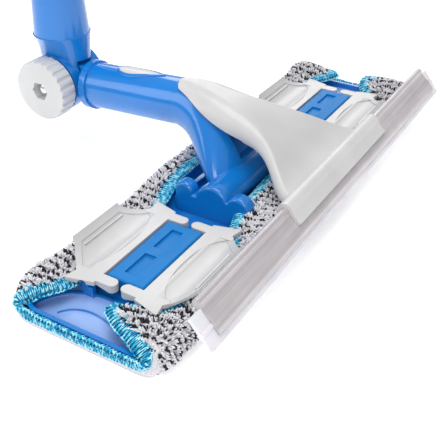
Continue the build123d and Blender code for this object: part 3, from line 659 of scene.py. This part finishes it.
def ring_faces(count, sides):
    """Quads between neighbours in a closed row of rings, each with as many points as sides."""
    i = np.arange(count)[:, None]
    k = np.arange(sides)[None, :]
    i1, k1 = (i + 1) % count, (k + 1) % sides
    faces = [i * sides + k, i * sides + k1, i1 * sides + k1, i1 * sides + k]
    return np.stack(faces, axis=-1).reshape(-1, 4)


def merged(parts):
    """Several sets of points and faces as one."""
    points, faces, start = [], [], 0
    for p, f in parts:
        points.append(p)
        faces.append(f + start)
        start += len(p)
    return np.concatenate(points), np.concatenate(faces)


def bound_edge(line):
    """The flat elastic core of the hem and the thread wrapped round it both ways."""
    centre = line[:, 2:5]
    lip = unit(np.concatenate([line[:, 2:4] - line[:, :2], np.zeros((len(line), 1))], axis=1))
    along = unit(np.roll(centre, -1, 0) - np.roll(centre, 1, 0))
    # Low is 0 on the sides and the lips, and 1 where the edge crosses the head's ends near the plate, so
    # that the band stands steeper and is narrower there.
    low = np.clip((13.0 - centre[:, 2]) / 4.5, 0, 1)[:, None]
    low = low * np.clip((np.abs(centre[:, 0]) - 160) / 6, 0, 1)[:, None]
    tilt = np.radians(HEM_TILT[0] + HEM_TILT[1] * low)
    flat = unit(lip - (lip * along).sum(-1, keepdims=True) * along)
    rise = unit(np.cross(along, flat))
    rise *= np.sign(rise[:, 2:3])
    across = np.cos(tilt) * flat - np.sin(tilt) * rise
    thick = np.cos(tilt) * rise + np.sin(tilt) * flat
    arc = np.concatenate([[0], np.cumsum(np.linalg.norm(np.diff(centre, axis=0), axis=1))])
    total = arc[-1] + np.linalg.norm(centre[0] - centre[-1])
    wide = np.concatenate([centre, across, thick], axis=1)
    wide = np.concatenate([wide, wide[:1]])
    arc = np.append(arc, total)
    narrow = np.append(low[:, 0], low[0, 0])

    def on_edge(s, angle, grow):
        """Points at a distance along the edge and an angle round it, grown outwards by some millimetres."""
        row = np.stack([np.interp(s % total, arc, wide[:, k]) for k in range(9)], axis=1)
        swell = 1 + 0.06 * np.sin(s / 6.1) + 0.05 * np.sin(s / 2.7)
        a = (HEM_A * (1 - 0.2 * np.interp(s % total, arc, narrow)) + grow) * swell * np.cos(angle)
        b = (HEM_B + grow) * np.sin(angle)
        return row[:, :3] + a[:, None] * row[:, 3:6] + b[:, None] * row[:, 6:9]

    n = int(total / HEM_STEP)
    s = np.repeat(np.arange(n) * total / n, HEM_AROUND)
    angle = np.tile(np.arange(HEM_AROUND) * 2 * np.pi / HEM_AROUND, n)
    core = on_edge(s, angle, 0.0), ring_faces(n, HEM_AROUND)

    turns = int(total / THREAD_PITCH)
    t = np.arange(turns * THREAD_PER_TURN) / (turns * THREAD_PER_TURN)
    threads = []
    for way, lift in ((1, 0.30), (-1, 0.55)):
        angle = way * 2 * np.pi * turns * t
        threads.append(tube(on_edge(t * total, angle, lift + 0.12 * np.sin(7 * angle)), THREAD_R))
    steps = int(total / RUNNING_STEP)
    t = np.arange(steps) / steps
    for angle, lift in ((0.0, 0.75), (np.pi, 0.6)):
        wave = angle + 0.28 * np.sin(2 * np.pi * t * turns)
        lifted = lift + 0.25 * np.cos(4 * np.pi * t * turns)
        threads.append(tube(on_edge(t * total, wave, lifted), THREAD_R * 1.25))
    return core, threads


def yarn_material(name, dark, light, shine):
    """Fluffy microfibre yarn: fine cross-lying fibres and soft mottled tone."""
    s = Shader(name)
    tone = s.mix(s.range(s.noise(900.0, 4.0), 0.0, 1.0, 0.32, 0.68), dark, light)
    patch = s.mix(s.range(s.noise(130.0, 2.0), 0.0, 0.35, 0.4, 0.7), tone, scaled(light, 0.7))
    fibre = s.noise(2600.0, 3.0, distortion=1.2)
    return s.set(color=patch, rough=s.range(fibre, 0.75, 0.95), normal=s.bump(fibre, 0.5, 0.4 * MM),
                 sheen=shine, sheen_rough=0.5, specular=0.2)


def thread_material():
    """Glossy cyan polyester thread; its paler, near-white strands are painted highlights, standing in for
    glints.
    """
    s = Shader("hem_thread")
    strand = s.noise(420.0, 3.0)
    # The palest stop is a painted highlight for glints on the thread; the darker stops are its cyan with
    # random tone.
    tone = s.ramp(strand, [(0.36, (0.0, 0.24, 0.52)), (0.47, (0.0, 0.50, 0.82)), (0.58, (0.42, 0.88, 0.97))])
    twist = s.noise(3200.0, 2.0)
    return s.set(color=tone, rough=s.range(twist, 0.22, 0.45), normal=s.bump(twist, 0.3, 0.2 * MM), coat=0.15)


def shaded_hem_core_material():
    """Woven core seen between the hem's threads, coloured dark blue to near black as painted shade for the
    holes between them.
    """
    s = Shader("hem_core")
    weave = s.noise(1.0, 2.0, vector=s.stretched((900.0, 900.0, 300.0)))
    # Near black to dark blue: painted shade for the gaps between the threads.
    tone = s.mix(s.range(weave, 0.0, 1.0, 0.35, 0.65), (0.002, 0.05, 0.12), (0.01, 0.22, 0.38))
    return s.set(color=tone, rough=0.7, normal=s.bump(weave, 0.5, 0.3 * MM))


mats["pile_white"] = yarn_material("pile_white", (0.70, 0.69, 0.73), (0.88, 0.87, 0.90), 0.2)
mats["pile_black"] = yarn_material("pile_black", (0.010, 0.009, 0.012), (0.045, 0.040, 0.05), 0.0)
# The backing's grey, darker than the pile's white, is partly painted shade for the depth between the tufts.
mats["backing"] = yarn_material("pad_backing_knit", (0.55, 0.54, 0.57), (0.80, 0.79, 0.81), 0.1)
mats["thread"] = thread_material()
mats["elastic"] = shaded_hem_core_material()


def press_under_clamps(obj, gap, reach):
    """Moves the points that reach into or above a flap, or stand within reach of its outline, to gap below
    its underside, keeping a little of their relief. Gap and reach are in millimetres."""
    gap, reach, start = gap * MM, reach * MM, LIP_FROM * MM
    co = coordinates(obj.data)
    for end in ("near", "far"):
        for hand in ("left", "right"):
            flap = f"flap_{end}_{hand}"
            mesh = nodes[flap].data
            tree = BVHTree.FromPolygons([v.co for v in mesh.vertices], [p.vertices for p in mesh.polygons])
            low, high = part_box(flap)
            inside = ((co[:, :2] > (low.x - reach, low.y - reach)).all(axis=1)
                      & (co[:, :2] < (high.x + reach, high.y + reach)).all(axis=1))
            for k in np.flatnonzero(inside & (co[:, 2] > start)):
                x, y, z = map(float, co[k])
                feet = [Vector((x + dx * reach, y + dy * reach, start))
                        for dx, dy in ((0, 0), (1, 0), (-1, 0), (0, 1), (0, -1))]
                hits = [tree.ray_cast(foot, Vector((0, 0, 1)))[0] for foot in feet]
                under = min([hit.z for hit in hits if hit], default=math.inf) - gap
                if z > under:
                    co[k, 2] = under - RELIEF_KEPT * (z - under)
    obj.data.vertices.foreach_set("co", co.reshape(-1))
    obj.data.update()


def build_pad():
    """Makes the pad's four pieces, presses them down under the clamps and puts them on the head."""
    points, pile_to, line = pad_sections()
    n, m = points.shape[:2]
    lumps = ridge_noise((n, m), LUMP_SIZE, LUMP_SEED)
    free = np.zeros(m)
    free[FREE_FROM:pile_to - 1] = 1.0
    points[..., 2] += LUMP_HEIGHT * lumps * free
    core = grid_mesh("pad_core", points)
    core.data.materials.append(mats["backing"])
    pinned = np.tile(free == 0.0, n)
    simulate(core, pinned, SWELL_CAP * MM)
    points = coordinates(core.data).reshape(n, m, 3).astype(float) / MM
    tufts = pile(points, pile_to, np.linalg.norm(line[:, 2:4] - line[:, :2], axis=1))
    edge, threads = bound_edge(line)
    hem = mesh_piece("pad_hem_core", *edge, (mats["elastic"],))
    wrap = mesh_piece("pad_hem_thread", *merged(threads), (mats["thread"],))
    presses = ((core, CORE_PRESS), (hem, HEM_PRESS), (wrap, THREAD_PRESS), (tufts, PILE_PRESS))
    for piece, (gap, reach) in presses:
        press_under_clamps(piece, gap, reach)
        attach(piece, HEAD)
    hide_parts("pad_cloth", "pad_backing")
    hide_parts("pad_hem")


HEAD = nodes["base_plate"]["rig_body"]
build_pad()


def flexing_spring(end):
    """A copy of the CAD spring with a mesh of its own, carried by the head in place of the CAD node."""
    node = f"leaf_spring_{end}"
    spring = bpy.data.objects.new(f"spring_{end}", nodes[node].data.copy())
    spring.matrix_world = nodes[node].matrix_world.copy()
    scene.collection.objects.link(spring)
    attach(spring, HEAD)
    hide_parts(node)
    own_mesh(spring)


for end in ("near", "far"):
    flexing_spring(end)


# ---- stage ----
FLOOR_GLOW = 0.40                    # lifts the studio floor to the backdrop's white
FLOOR_HALF = 3.0
STUDIO_WHITE = (0.97, 0.98, 1.0, 1.0)
WORLD_STRENGTH = 0.46
LIGHTS = {                           # place, target, size and energy of each soft light
    "top_soft": ((-0.1, -0.05, 1.2), (0, 0, 0), (0.9, 0.9), 9.0),
    "back_soft": ((1.25, 0.75, 0.95), (0, 0, 0.02), (1.0, 0.7), 6.4),
    "left_soft": ((-0.9, 0.9, 0.75), (0, 0, 0.03), (0.5, 0.8), 3.0),
    "front_soft": ((-1.15, -0.6, 0.7), (0, 0, 0.03), (0.6, 0.6), 5.5),
}
LENS, SENSOR = 61.2, 36.0
CAMERA_PLACE = (-0.366, -0.199, 0.2626)
AZIMUTH, ELEVATION, ROLL = (math.radians(a) for a in (-148.45, 34.25, -0.35))


def floor():
    """The white studio floor under the head, which also gives off a little light."""
    mesh = bpy.data.meshes.new("floor")
    r = FLOOR_HALF
    mesh.from_pydata([(-r, -r, 0), (r, -r, 0), (r, r, 0), (-r, r, 0)], [], [(0, 1, 2, 3)])
    obj = bpy.data.objects.new("floor", mesh)
    scene.collection.objects.link(obj)
    s = Shader("floor_white")
    tone = s.ramp(s.noise(2.0), [(0.3, (0.93, 0.93, 0.935)), (0.7, (0.95, 0.95, 0.95))])
    s.bsdf.inputs["Emission Color"].default_value = STUDIO_WHITE
    s.bsdf.inputs["Emission Strength"].default_value = FLOOR_GLOW
    mesh.materials.append(s.set(color=tone, rough=0.9, specular=0.1))


def area_light(name, place, target, size, energy):
    """A white rectangular light turned to a target."""
    light = bpy.data.lights.new(name, "AREA")
    light.shape = "RECTANGLE"
    light.size, light.size_y = size
    light.energy = energy
    obj = bpy.data.objects.new(name, light)
    scene.collection.objects.link(obj)
    obj.location = place
    obj.rotation_euler = (Vector(target) - Vector(place)).to_track_quat("-Z", "Y").to_euler()


floor()
scene.view_settings.view_transform = "Standard"
world = bpy.data.worlds.new("studio")
scene.world = world
world.use_nodes = True
background = world.node_tree.nodes["Background"].inputs
background["Color"].default_value = STUDIO_WHITE
background["Strength"].default_value = WORLD_STRENGTH
for name, settings in LIGHTS.items():
    area_light(name, *settings)

camera_data = bpy.data.cameras.new("camera")
camera_data.lens = LENS
camera_data.sensor_width = SENSOR
camera_data.clip_start = 0.01
camera = bpy.data.objects.new("camera", camera_data)
scene.collection.objects.link(camera)
scene.camera = camera
turned = Matrix.Rotation(AZIMUTH + math.pi / 2, 4, "Z")
tipped = Matrix.Rotation(math.pi / 2 - ELEVATION, 4, "X")
rolled = Matrix.Rotation(ROLL, 4, "Z")
camera.matrix_world = Matrix.Translation(CAMERA_PLACE) @ turned @ tipped @ rolled
